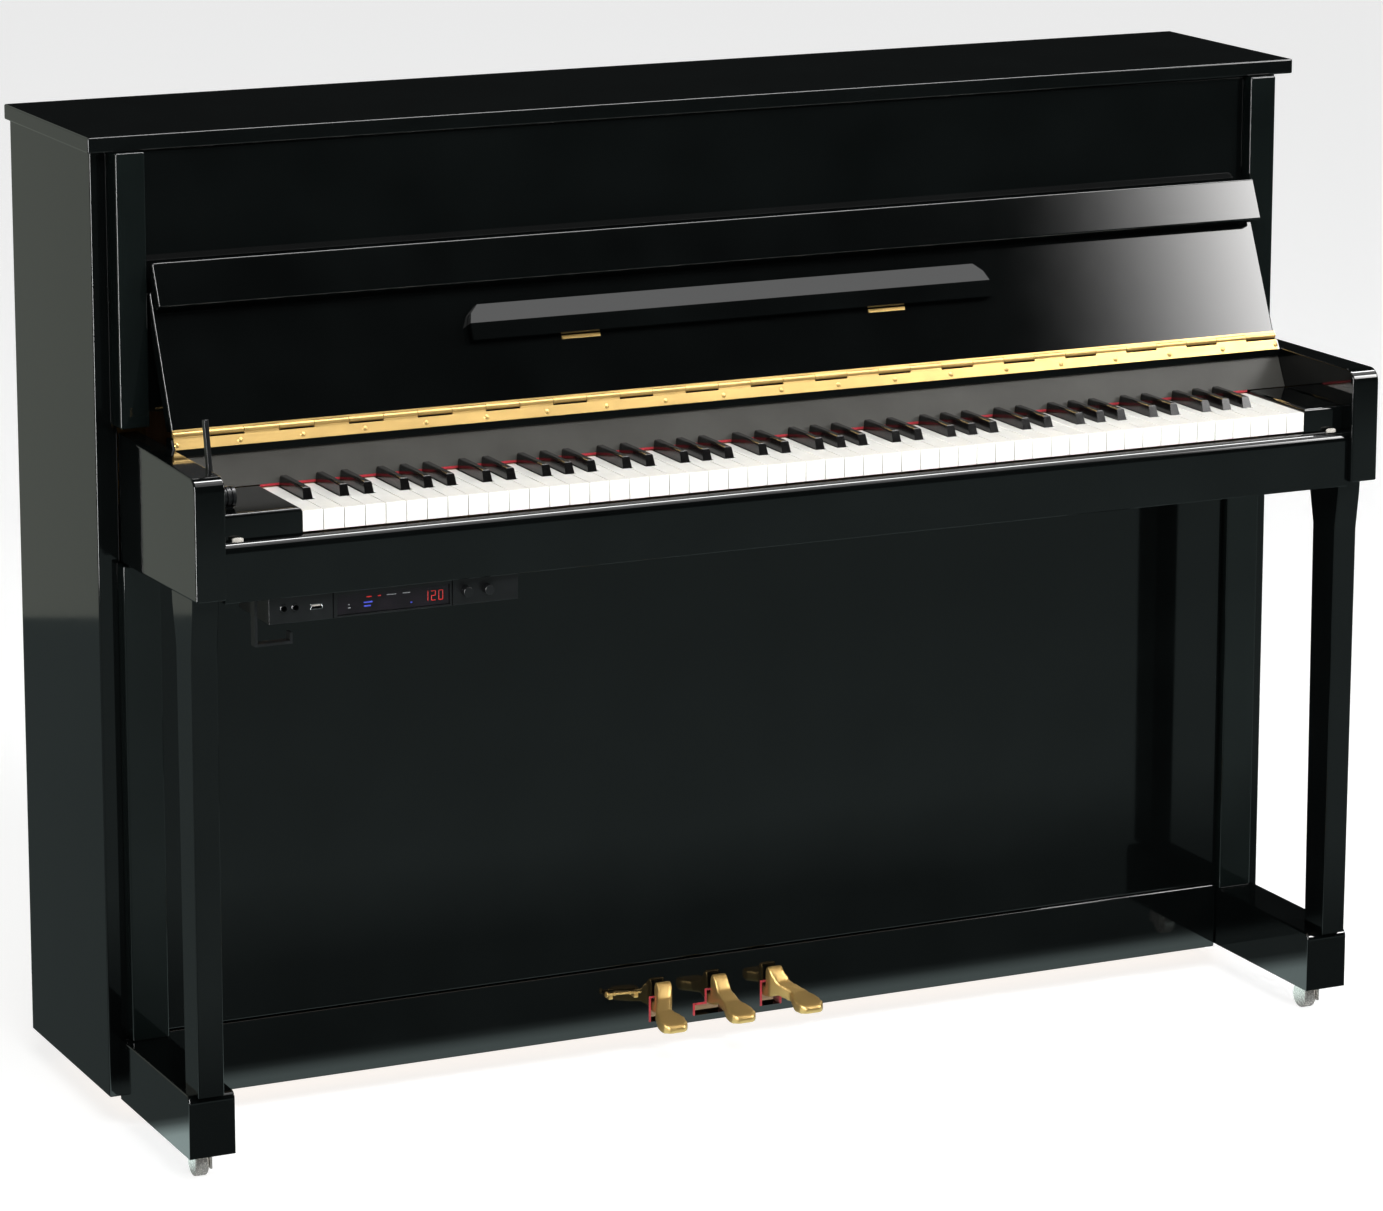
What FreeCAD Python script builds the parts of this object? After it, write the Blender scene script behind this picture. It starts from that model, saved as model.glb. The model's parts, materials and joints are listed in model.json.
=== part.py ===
import FreeCAD, Part
import os
import Sketcher

# Upright piano, +Z up, millimetres.
# Origin: centre of the outer box at floor level. +X runs along the keyboard towards
# the treble, -Y faces the player and +Y is the back.

os.makedirs("parts", exist_ok=True)
document = FreeCAD.newDocument("upright_piano")
dims = document.addObject("Spreadsheet::Sheet", "dims")

DRIVING_DIMENSIONS = [
    # outer case
    ("total_height", 1108), ("total_depth", 536), ("lid_width", 1484), ("lid_thickness", 17),
    ("lid_clearance", 0.4),
    ("lid_side_overhang", 9.5), ("lid_front_overhang", 24), ("lid_back_setback", 10),
    ("side_thickness", 25), ("side_depth", 270), ("side_underside", 38), ("edge_round", 2),
    # arms, legs and toe blocks
    ("arm_inner", 683), ("arm_thickness", 34), ("arm_flare", 10), ("arm_top", 783),
    ("arm_rear_underside", 640), ("arm_front_underside", 653), ("arm_nose_round", 15),
    ("leg_inner", 683), ("leg_width", 29), ("toe_inner", 668), ("toe_width", 52),
    ("toe_length", 223), ("toe_underside", 35), ("toe_top", 105), ("toe_nose_round", 9),
    # pilasters and panels
    ("upper_pilaster_inner", 681.5), ("upper_pilaster_width", 33), ("upper_pilaster_depth", 32),
    ("upper_pilaster_underside", 793), ("lower_pilaster_inner", 669), ("lower_pilaster_width", 42),
    ("lower_pilaster_depth", 20), ("panel_thickness", 16), ("lower_panel_reveal", 10),
    ("rail_underside", 31), ("rail_top", 109), ("rail_thickness", 18), ("rail_reveal", 8),
    ("bottom_board_thickness", 14),
    # keybed, key slip and key blocks
    ("keybed_underside", 648), ("keybed_thickness", 40), ("keybed_back", 78),
    ("slip_front", 260), ("slip_thickness", 12), ("slip_top", 711), ("slip_round", 11),
    ("key_block_top", 739), ("key_block_back", 123), ("key_block_round", 4),
    # keyboard
    ("key_pitch", 23.5), ("key_gap", 1), ("keyboard_left", 590), ("key_front", 246),
    ("key_back", 70), ("key_top", 735), ("key_underside", 713), ("white_head", 50),
    ("black_width", 11), ("black_slot", 13), ("black_height", 12), ("black_front_slope", 6),
    ("black_side_slope", 1), ("black_back", 122), ("black_front_gap", 1.6), ("key_round", 0.8),
    # fallboard, in the frame of its hinge: along the board, then out of its inner face
    ("hinge_reach", 100), ("hinge_level", 796), ("fallboard_lean", 65.8), ("fallboard_half", 680),
    ("fallboard_start", 4), ("fallboard_end", 158), ("fallboard_thickness", 16),
    ("flap_start", 135), ("flap_end", 184), ("flap_gap", 9), ("flap_thickness", 14),
    ("flap_pivot_along", 160.5), ("flap_pivot_out", 6.4),
    ("ledge_left", 325), ("ledge_right", 316), ("ledge_start", 73), ("ledge_end", 114),
    ("ledge_gap", 1), ("ledge_thickness", 11), ("knuckle_radius", 3), ("leaf_thickness", 1.4),
    # pedals
    ("pedal_spacing", 71), ("pedal_toe_spacing", 86), ("pedal_pivot_back", 60),
    ("pedal_pivot_level", 56), ("pedal_tip", 98), ("pedal_neck", 18), ("pedal_toe", 32),
    # inside
    ("frame_front", 160), ("frame_back", 260), ("post_width", 70), ("beam_height", 75),
    ("soundboard_front", 136), ("soundboard_thickness", 8), ("soundboard_low", 115),
    ("soundboard_high", 900), ("plate_front", 100), ("string_slope", 0.55),
    ("plate_thickness", 10), ("plate_half", 690),
    # fallboard damper, control unit and casters
    ("damper_reach", 215), ("damper_level", 751), ("damper_radius", 11), ("lever_length", 82),
    ("unit_left", 630), ("unit_width", 284), ("unit_front", 248), ("unit_depth", 90),
    ("unit_height", 31), ("knob_radius", 5.5), ("knob_length", 9), ("jack_radius", 3.25),
    ("wheel_radius", 15), ("wheel_width", 14), ("caster_trail", 12), ("axle_radius", 2.5),
]

for row, (alias, value) in enumerate(DRIVING_DIMENSIONS, start=1):
    dims.set("A%d" % row, alias.replace("_", " "))
    dims.set("B%d" % row, str(value))
    dims.setAlias("B%d" % row, alias)
document.recompute()


def mm(alias):
    """Read one driving dimension as a number."""
    return float(dims.get(alias))


# Planes and levels that many pieces share, as formulas of the sheet.
CASE_FRONT = "(dims.total_depth / 2 - dims.side_depth)"
ARM_FRONT = "(-dims.total_depth / 2)"
LID_UNDERSIDE = "(dims.total_height - dims.lid_thickness)"
CASE_TOP = "(dims.total_height - dims.lid_thickness - dims.lid_clearance)"
BOARD_BACK = "(dims.soundboard_front + dims.soundboard_thickness)"
SIDE_INNER = "(dims.lid_width / 2 - dims.lid_side_overhang - dims.side_thickness)"
KEYBED_TOP = "(dims.keybed_underside + dims.keybed_thickness)"

case_front = mm("total_depth") / 2 - mm("side_depth")
side_inner = mm("lid_width") / 2 - mm("lid_side_overhang") - mm("side_thickness")
keybed_top = mm("keybed_underside") + mm("keybed_thickness")
nodes = {}


def node(name, piece):
    """Register a finished sub-part under the name that its file gets."""
    piece.Label = name
    nodes[name] = piece
    return piece


def block(name, low, size):
    """A rectangular board: formulas for its low corner and its size along X, Y and Z."""
    box = document.addObject("Part::Box", name)
    for side, formula in zip(("Length", "Width", "Height"), size):
        box.setExpression(side, formula)
    for axis, formula in zip("xyz", low):
        box.setExpression("Placement.Base." + axis, formula)
    box.recompute()
    return box


def rod(name, centre, axis, radius, length):
    """A cylinder from a centre point along an axis; radius and length are formulas."""
    cylinder = document.addObject("Part::Cylinder", name)
    cylinder.setExpression("Radius", radius)
    cylinder.setExpression("Height", length)
    turn = FreeCAD.Rotation(FreeCAD.Vector(0, 0, 1), FreeCAD.Vector(*axis))
    cylinder.Placement = FreeCAD.Placement(FreeCAD.Vector(*centre), turn)
    cylinder.recompute()
    return cylinder


def rounded(base, radius_alias, wanted=None):
    """Round a piece's edges: all of them, or those that wanted(edge) picks."""
    radius = mm(radius_alias)
    fillet = document.addObject("Part::Fillet", base.Name + "_rounded")
    fillet.Base = base
    fillet.Edges = [
        (number, radius, radius)
        for number, edge in enumerate(base.Shape.Edges, start=1)
        if wanted is None or wanted(edge)
    ]
    fillet.recompute()
    return fillet


def join(name, pieces):
    """Fuse touching pieces into one solid."""
    fusion = document.addObject("Part::MultiFuse", name)
    fusion.Shapes = pieces
    fusion.recompute()
    return fusion


def cut(name, base, tool):
    """Remove one piece from another."""
    difference = document.addObject("Part::Cut", name)
    difference.Base = base
    difference.Tool = tool
    difference.recompute()
    return difference


def group(name, pieces):
    """Keep several separate solids together in one sub-part."""
    compound = document.addObject("Part::Compound", name)
    compound.Links = pieces
    compound.recompute()
    return compound


def mirrored(piece):
    """The same piece on the other side of the centre plane."""
    mirror = document.addObject("Part::Mirroring", piece.Name + "_mirrored")
    mirror.Source = piece
    mirror.Normal = FreeCAD.Vector(1, 0, 0)
    mirror.recompute()
    return mirror


def pair(name, piece):
    """A left and right pair as one sub-part."""
    return node(name, group(name + "_pair", [mirrored(piece), piece]))


def origin_plane(body, role):
    return next(item for item in body.Origin.OriginFeatures if item.Role == role)


def outline(body, role, name, points, offset="0"):
    """A closed sketch of straight lines whose corners are bound to formulas."""
    sketch = body.newObject("Sketcher::SketchObject", name)
    sketch.AttachmentSupport = [(origin_plane(body, role), "")]
    sketch.MapMode = "FlatFace"
    sketch.setExpression("AttachmentOffset.Base.z", offset)
    count = len(points)
    # a rough ring of corners first; the bound dimensions then move them into place
    ring = [
        FreeCAD.Vector(FreeCAD.Rotation(index * 360.0 / count, 0, 0).multVec(FreeCAD.Vector(50, 0, 0)))
        for index in range(count)
    ]
    lines = [Part.LineSegment(ring[index], ring[(index + 1) % count]) for index in range(count)]
    sketch.addGeometry(lines, False)
    for index in range(count):
        sketch.addConstraint(Sketcher.Constraint("Coincident", index, 2, (index + 1) % count, 1))
    for index, formulas in enumerate(points):
        for direction, formula in zip(("DistanceX", "DistanceY"), formulas):
            number = sketch.addConstraint(Sketcher.Constraint(direction, index, 1, 10.0))
            sketch.setExpression("Constraints[%d]" % number, formula)
    return sketch


def profile_body(name, role, points, length, offset="0"):
    """A body padded from one outline: its feature is returned with it."""
    body = document.addObject("PartDesign::Body", name)
    sketch = outline(body, role, name + "_outline", points, offset)
    pad = body.newObject("PartDesign::Pad", name + "_pad")
    pad.Profile = sketch
    pad.setExpression("Length", length)
    document.recompute([body, sketch, pad])
    return body, pad


def soften(body, feature, radius_alias, wanted):
    """Round the picked edges of a body's last feature."""
    fillet = body.newObject("PartDesign::Fillet", body.Name + "_" + radius_alias)
    names = [
        "Edge%d" % number
        for number, edge in enumerate(feature.Shape.Edges, start=1)
        if wanted(edge)
    ]
    fillet.Base = (feature, names)
    fillet.setExpression("Radius", "dims." + radius_alias)
    body.Tip = fillet
    document.recompute([fillet, body])
    return fillet


def runs_along(edge, axis):
    """True for a straight edge parallel to X, Y or Z."""
    start, end = edge.Vertexes[0].Point, edge.Vertexes[-1].Point
    direction = (end - start)
    if direction.Length < 1e-6:
        return False
    return abs(abs(direction.normalize()["xyz".index(axis)]) - 1) < 1e-6


def near(edge, x=None, y=None, z=None, within=0.01):
    """True for an edge whose ends both lie at the given coordinates."""
    return all(
        abs(vertex.Point[index] - wanted) < within
        for vertex in edge.Vertexes
        for index, wanted in enumerate((x, y, z))
        if wanted is not None
    )


# ---------------------------------------------------------------- case
def make_case():
    side_board = block(
        "side_board",
        (SIDE_INNER, CASE_FRONT, "dims.side_underside"),
        ("dims.side_thickness", "dims.side_depth", CASE_TOP + " - dims.side_underside"),
    )
    pair("side_boards", rounded(side_board, "edge_round"))

    lid = block(
        "lid_board",
        ("-dims.lid_width / 2", CASE_FRONT + " - dims.lid_front_overhang", LID_UNDERSIDE),
        (
            "dims.lid_width",
            "dims.side_depth - dims.lid_back_setback + dims.lid_front_overhang",
            "dims.lid_thickness",
        ),
    )
    node("lid", rounded(lid, "edge_round"))

    upper = block(
        "upper_pilaster",
        ("dims.upper_pilaster_inner", CASE_FRONT + " - dims.upper_pilaster_depth",
         "dims.upper_pilaster_underside"),
        ("dims.upper_pilaster_width", "dims.upper_pilaster_depth",
         CASE_TOP + " - dims.upper_pilaster_underside"),
    )
    lower = block(
        "lower_pilaster",
        ("dims.lower_pilaster_inner", CASE_FRONT + " - dims.lower_pilaster_depth", "dims.toe_top"),
        ("dims.lower_pilaster_width", "dims.lower_pilaster_depth",
         "dims.arm_rear_underside - dims.toe_top"),
    )
    strips = [rounded(upper, "edge_round"), rounded(lower, "edge_round")]
    node("pilasters", group("pilaster_group", strips + [mirrored(strip) for strip in strips]))

    upper_panel = block(
        "upper_panel_board",
        ("-dims.upper_pilaster_inner + 0.5", CASE_FRONT + " - dims.panel_thickness",
         "dims.hinge_level + 10"),
        ("2 * dims.upper_pilaster_inner - 1", "dims.panel_thickness",
         LID_UNDERSIDE + " - dims.hinge_level - 11"),
    )
    node("upper_panel", rounded(upper_panel, "edge_round"))

    lower_panel = block(
        "lower_panel_board",
        ("-dims.lower_pilaster_inner + 0.5",
         CASE_FRONT + " - dims.lower_pilaster_depth + dims.lower_panel_reveal",
         "dims.rail_top + 1"),
        ("2 * dims.lower_pilaster_inner - 1", "dims.panel_thickness",
         "dims.keybed_underside - dims.rail_top - 2"),
    )
    node("lower_panel", rounded(lower_panel, "edge_round"))

    bottom_board = block(
        "bottom_board_plank",
        ("-" + SIDE_INNER + " + 0.5", "20", "dims.rail_underside"),
        ("2 * " + SIDE_INNER + " - 1", "dims.frame_front - 21", "dims.bottom_board_thickness"),
    )
    board_top = "dims.rail_underside + dims.bottom_board_thickness"
    stands = []
    for index in (-1, 0, 1):
        for side, start in (("left", -15), ("right", 9.6)):
            stands.append(block(
                "pedal_stand_%s_%d" % (side, index + 1),
                ("%d * dims.pedal_spacing + %s" % (index, start), "dims.pedal_pivot_back - 10", board_top),
                ("5.4", "20", "dims.pedal_pivot_level + 8 - (%s)" % board_top),
            ))
    node("bottom_board", group("bottom_board_and_stands", [bottom_board] + stands))


def make_bottom_rail():
    """The front rail between the toe blocks, with a slot for each pedal."""
    rail_front = case_front - mm("lower_pilaster_depth") + mm("rail_reveal")
    rail = block(
        "rail_board",
        ("-dims.toe_inner + 0.5", str(rail_front), "dims.rail_underside"),
        ("2 * dims.toe_inner - 1", "dims.rail_thickness", "dims.rail_top - dims.rail_underside"),
    )
    rail = rounded(rail, "edge_round")
    slots = []
    for index in (-1, 0, 1):
        slots.append(block(
            "pedal_slot_%d" % (index + 1),
            ("%d * dims.pedal_spacing - 14" % index, str(rail_front - 5), "39"),
            ("28", "dims.rail_thickness + 10", "31"),
        ))
    # the middle slot runs on to the left, where the pedal locks down
    slots.append(block(
        "pedal_lock_slot", ("-29", str(rail_front - 5), "39"), ("16", "dims.rail_thickness + 10", "15"),
    ))
    tools = group("pedal_slots", slots)
    node("bottom_rail", cut("bottom_rail_cut", rail, tools))


def make_arms():
    """Each arm: a board with a rounded nose, its underside rising to the front."""
    rear = mm("total_depth") / 2 - mm("side_depth")
    body, pad = profile_body(
        "arm", "YZ_Plane",
        [
            (CASE_FRONT, "dims.arm_rear_underside"),
            (CASE_FRONT, "dims.arm_top"),
            (ARM_FRONT, "dims.arm_top"),
            (ARM_FRONT, "dims.arm_front_underside"),
        ],
        "dims.arm_thickness", "dims.arm_inner",
    )
    # the outer face tapers inwards towards the back
    outer = "dims.arm_inner + dims.arm_thickness"
    taper = outline(
        body, "XY_Plane", "arm_taper_outline",
        [
            (outer, ARM_FRONT), (outer + " + 5", ARM_FRONT),
            (outer + " + 5", CASE_FRONT + " + 1"), (outer + " - dims.arm_flare", CASE_FRONT + " + 1"),
        ],
        "dims.keybed_underside - 100",
    )
    pocket = body.newObject("PartDesign::Pocket", "arm_taper")
    pocket.Profile = taper
    pocket.Reversed = True
    pocket.Length = 300
    body.Tip = pocket
    document.recompute([taper, pocket, body])
    front = -mm("total_depth") / 2
    nose = soften(body, pocket, "arm_nose_round",
                  lambda edge: near(edge, y=front, z=mm("arm_top"), within=0.1))
    taper_start = mm("arm_inner") + mm("arm_thickness") - mm("arm_flare") - 1

    def borders_a_face(edge):
        """Edges round the inner, outer and front faces, but not those against the case."""
        outer_edge = all(vertex.Point.x > taper_start for vertex in edge.Vertexes)
        inner_edge = near(edge, x=mm("arm_inner"))
        front_edge = near(edge, y=front, within=0.1)
        return not near(edge, y=rear, within=0.1) and (inner_edge or outer_edge or front_edge)

    soften(body, nose, "edge_round", borders_a_face)
    pair("arms", body)


def make_legs():
    """Slim square legs, deeper under the arm, standing on the toe blocks."""
    # the arm's underside rises towards the front; the leg's top follows it
    arm_underside = ("dims.arm_rear_underside + (dims.arm_front_underside - dims.arm_rear_underside)"
                     " * (%d - 2) / (dims.total_depth / 2 - 2)")
    body, pad = profile_body(
        "leg", "YZ_Plane",
        [
            ("-191", "dims.toe_top"), ("-188", "590"), ("-178", "635"), ("-177", arm_underside % 177),
            ("-243", arm_underside % 243), ("-242", "635"), ("-236", "590"), ("-233", "dims.toe_top"),
        ],
        "dims.leg_width", "dims.leg_inner",
    )
    lowest = mm("toe_top")
    soften(body, pad, "edge_round", lambda edge: not runs_along(edge, "x")
           and not near(edge, z=lowest)
           and not all(vertex.Point.z > mm("arm_rear_underside") for vertex in edge.Vertexes))
    pair("legs", body)


def make_toe_blocks():
    toe = block(
        "toe_block",
        ("dims.toe_inner", CASE_FRONT + " - dims.toe_length", "dims.toe_underside"),
        ("dims.toe_width", "dims.toe_length - 0.2", "dims.toe_top - dims.toe_underside"),
    )
    front = case_front - mm("toe_length")
    top = mm("toe_top")
    nose = rounded(toe, "toe_nose_round", lambda edge: near(edge, y=front, z=top))
    nose = rounded(nose, "edge_round", lambda edge: near(edge, y=front)
                   or (runs_along(edge, "y") and near(edge, z=top)))
    pair("toe_blocks", nose)


# ---------------------------------------------------------------- keybed
def make_keybed():
    keybed = block(
        "keybed_board",
        ("-dims.arm_inner + 0.5", "-dims.slip_front + dims.slip_thickness", "dims.keybed_underside"),
        ("2 * dims.arm_inner - 1", "dims.slip_front - dims.slip_thickness + dims.keybed_back",
         "dims.keybed_thickness"),
    )
    node("keybed", keybed)

    slip = block(
        "slip_board",
        ("-dims.arm_inner + 0.5", "-dims.slip_front", "dims.keybed_underside - 1"),
        ("2 * dims.arm_inner - 1", "dims.slip_thickness - 0.2",
         "dims.slip_top - dims.keybed_underside + 1"),
    )
    front = -mm("slip_front")
    nose = rounded(slip, "slip_round", lambda edge: near(edge, y=front, z=mm("slip_top")))
    node("key_slip", rounded(nose, "edge_round",
                             lambda edge: near(edge, y=front, z=mm("keybed_underside") - 1)))

    keyboard_right = "(52 * dims.key_pitch - dims.keyboard_left)"
    spans = {
        "bass": ("-dims.arm_inner + 0.5", "dims.arm_inner - dims.keyboard_left - 1"),
        "treble": (keyboard_right + " + 0.5", "dims.arm_inner - " + keyboard_right + " - 1"),
    }
    blocks = []
    for side, (low, width) in spans.items():
        key_block = block(
            side + "_key_block",
            (low, "-dims.key_front", KEYBED_TOP),
            (width, "dims.key_front - dims.key_block_back",
             "dims.key_block_top - " + KEYBED_TOP),
        )
        blocks.append(rounded(key_block, "key_block_round",
                              lambda edge: near(edge, z=mm("key_block_top"))))
    node("key_blocks", group("key_block_group", blocks))


def make_nameboard():
    """The board behind the keys: a hinge seat above a slope that faces up."""
    body, pad = profile_body(
        "nameboard_body", "YZ_Plane",
        [
            ("-92", "742"), ("-121", "739"), ("-105", "771.5"), ("-108", "773.5"), ("-108", "781"),
            ("-102", "dims.hinge_level - 4.8"), ("-97", "dims.hinge_level - 4.8"),
            ("-88", "dims.hinge_level - 4.8"), ("-88", "752"),
        ],
        "2 * dims.arm_inner - 1", "-dims.arm_inner + 0.5",
    )
    node("nameboard", body)
    felt = block(
        "nameboard_felt_strip",
        ("-dims.keyboard_left", "-dims.black_back + 1.2", "dims.key_top + 1.3"),
        ("52 * dims.key_pitch", "5", "2.6"),
    )
    node("nameboard_felt", felt)


# ---------------------------------------------------------------- keys
# Sharps per octave, and the gaps in the white stems that they lie in.
NATURALS = ("c", "d", "e", "f", "g", "a", "b")
SHARP_AFTER = {"c": "c_sharp", "d": "d_sharp", "f": "f_sharp", "g": "g_sharp", "a": "a_sharp"}


def stem_spans():
    """Where each white stem lies within its octave, from the octave's left edge.

    The stems of c to e share their three pitches evenly, and so do f to b their four.
    """
    spans = {}
    for names, first in ((NATURALS[:3], 0), (NATURALS[3:], 3)):
        slots = len(names) - 1
        stem = (len(names) * mm("key_pitch") - slots * mm("black_slot")) / len(names)
        left = first * mm("key_pitch")
        for name in names:
            spans[name] = (left, left + stem)
            left += stem + mm("black_slot")
    return spans


def white_key(name, note, left_edge, octave_left, first=False, last=False):
    """A white key: a full-width head and a stem that leaves room for the sharps."""
    pitch = mm("key_pitch")
    half_gap = mm("key_gap") / 2
    stem_left, stem_right = stem_spans()[note]
    low = octave_left + stem_left if not first else left_edge
    high = octave_left + stem_right if not last else left_edge + pitch
    head = block(
        name + "_head",
        (str(left_edge + half_gap), "-dims.key_front", "dims.key_underside"),
        ("dims.key_pitch - dims.key_gap", "dims.white_head", "dims.key_top - dims.key_underside"),
    )
    stem = block(
        name + "_stem",
        (str(low + half_gap), "-dims.key_front + dims.white_head - 1", "dims.key_underside"),
        (str(high - low - 2 * half_gap), "dims.key_back + dims.key_front - dims.white_head + 1",
         "dims.key_top - dims.key_underside"),
    )
    key = join(name + "_white", [head, stem])
    front = -mm("key_front")
    return rounded(key, "key_round", lambda edge: near(edge, z=mm("key_top"))
                   and edge.Vertexes[0].Point.y < front + mm("white_head") - 2)


def black_key(name, centre):
    """A black key: a tapered cap with a sloping front, on a narrow stem."""
    cap_length = "dims.key_front - dims.white_head - dims.black_front_gap - dims.black_back"
    cap = document.addObject("Part::Wedge", name + "_cap")
    # the wedge tapers along its own Y, which the turn lays along Z
    limits = {
        "Xmin": "0", "Xmax": "dims.black_width", "Ymin": "0", "Ymax": "dims.black_height + 2",
        "Zmin": "0", "Zmax": cap_length,
        "X2min": "dims.black_side_slope", "X2max": "dims.black_width - dims.black_side_slope",
        "Z2min": "0",
        "Z2max": cap_length + " - dims.black_front_slope",
    }
    for limit, formula in limits.items():
        cap.setExpression(limit, formula)
    corner = FreeCAD.Vector(centre - mm("black_width") / 2, -mm("black_back"), mm("key_top") - 2)
    cap.Placement = FreeCAD.Placement(corner, FreeCAD.Rotation(FreeCAD.Vector(1, 0, 0), 90))
    cap.recompute()
    top = mm("key_top") + mm("black_height")
    cap = rounded(cap, "edge_round", lambda edge: near(edge, z=top)
                  and not near(edge, y=-mm("black_back")))
    stem = block(
        name + "_stem",
        (str(centre - mm("black_width") / 2 + 1), "-dims.key_front + dims.white_head + 3",
         "dims.key_underside"),
        ("dims.black_width - 2", "dims.key_back + dims.key_front - dims.white_head - 3",
         "dims.key_top - dims.key_underside - 2"),
    )
    return join(name + "_black", [cap, stem])


def make_keys():
    """88 keys from a in the lowest octave to c in the highest."""
    pitch = mm("key_pitch")
    rest = {"white": [], "black": []}
    # the octave that holds the first a starts five white keys to the left of it
    octave_left = -mm("keyboard_left") - 5 * pitch
    for octave in range(9):
        for position, note in enumerate(NATURALS):
            whites_before = octave * 7 + position - 5
            if whites_before < 0 or whites_before > 51:
                continue
            left_edge = octave_left + position * pitch
            name = "key_%s%d" % (note, octave)
            key = white_key(name, note, left_edge, octave_left,
                            first=whites_before == 0, last=whites_before == 51)
            if octave == 4:
                node(name, key)
            else:
                rest["white"].append(key)
            if note not in SHARP_AFTER or whites_before == 51:
                continue
            stem_right = stem_spans()[note][1]
            name = "key_%s%d" % (SHARP_AFTER[note], octave)
            key = black_key(name, octave_left + stem_right + mm("black_slot") / 2)
            if octave == 4:
                node(name, key)
            else:
                rest["black"].append(key)
        octave_left += 7 * pitch
    for colour, keys in rest.items():
        node(colour + "_keys", group(colour + "_key_group", keys))


def make_key_frame():
    """The three rails that the keys rest, rock and land on."""
    width = "52 * dims.key_pitch"
    rails = []
    for name, front, depth, top in (
        ("front", -236, 28, "702"), ("balance", -45, 28, "dims.key_underside - 1"),
        ("back", 44, 26, "dims.key_underside - 1"),
    ):
        rails.append(block(
            name + "_rail", ("-dims.keyboard_left", str(front), KEYBED_TOP),
            (width, str(depth), top + " - " + KEYBED_TOP),
        ))
    node("key_frame", group("key_frame_rails", rails))


# ---------------------------------------------------------------- fallboard
def in_hinge_frame(piece):
    """Lay a piece into the frame of the fallboard's hinge, as it stands open."""
    piece.Placement = FreeCAD.Placement(
        FreeCAD.Vector(0, -mm("hinge_reach"), mm("hinge_level")),
        FreeCAD.Rotation(FreeCAD.Vector(1, 0, 0), mm("fallboard_lean")),
    )
    piece.setExpression("Placement.Base.y", "-dims.hinge_reach")
    piece.setExpression("Placement.Base.z", "dims.hinge_level")
    return piece


def make_fallboard():
    body, pad = profile_body(
        "fallboard_body", "YZ_Plane",
        [
            ("dims.fallboard_start", "0"), ("dims.fallboard_end", "0"),
            ("dims.fallboard_end", "-dims.fallboard_thickness"),
            ("dims.fallboard_start + 4", "-dims.fallboard_thickness"), ("dims.fallboard_start", "-4"),
        ],
        "2 * dims.fallboard_half", "-dims.fallboard_half",
    )
    soften(body, pad, "edge_round", lambda edge: near(edge, y=mm("fallboard_end"))
           or (not runs_along(edge, "x") and near(edge, z=0)))
    node("fallboard", in_hinge_frame(body))

    body, pad = profile_body(
        "flap_body", "YZ_Plane",
        [
            ("dims.flap_start", "dims.flap_gap"), ("dims.flap_end", "dims.flap_gap"),
            ("dims.flap_end", "dims.flap_gap + dims.flap_thickness"),
            ("dims.flap_start", "dims.flap_gap + dims.flap_thickness"),
        ],
        "2 * dims.fallboard_half", "-dims.fallboard_half",
    )
    soften(body, pad, "edge_round", lambda edge: True)
    node("fallboard_flap", in_hinge_frame(body))


def make_ledge():
    """The music ledge, folded up: a board with cut corners and a bevelled free edge."""
    corner = "14"
    body, pad = profile_body(
        "ledge_body", "XY_Plane",
        [
            ("-dims.ledge_left", "dims.ledge_start"), ("dims.ledge_right", "dims.ledge_start"),
            ("dims.ledge_right", "dims.ledge_end - 22"), ("dims.ledge_right - 4", "dims.ledge_end - 10"),
            ("dims.ledge_right - " + corner, "dims.ledge_end"),
            ("-dims.ledge_left + " + corner, "dims.ledge_end"),
            ("-dims.ledge_left + 4", "dims.ledge_end - 10"), ("-dims.ledge_left", "dims.ledge_end - 22"),
        ],
        "dims.ledge_thickness", "dims.ledge_gap",
    )
    bevel = outline(
        body, "YZ_Plane", "ledge_bevel_outline",
        [
            ("dims.ledge_end - 22", "dims.ledge_gap + dims.ledge_thickness"),
            ("dims.ledge_end + 2", "dims.ledge_gap + dims.ledge_thickness - 7.6"),
            ("dims.ledge_end + 2", "dims.ledge_gap + dims.ledge_thickness + 2"),
            ("dims.ledge_end - 22", "dims.ledge_gap + dims.ledge_thickness + 2"),
        ],
        "-dims.ledge_left - 5",
    )
    pocket = body.newObject("PartDesign::Pocket", "ledge_bevel")
    pocket.Profile = bevel
    pocket.Reversed = True
    pocket.setExpression("Length", "dims.ledge_left + dims.ledge_right + 10")
    body.Tip = pocket
    document.recompute([bevel, pocket, body])
    node("music_ledge", in_hinge_frame(body))


def tube(radius, bore, start, length):
    """A round sleeve along X at the local origin."""
    along = FreeCAD.Vector(1, 0, 0)
    base = FreeCAD.Vector(start, 0, 0)
    outer = Part.makeCylinder(radius, length, base, along)
    return outer.cut(Part.makeCylinder(bore, length, base, along)) if bore else outer


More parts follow.
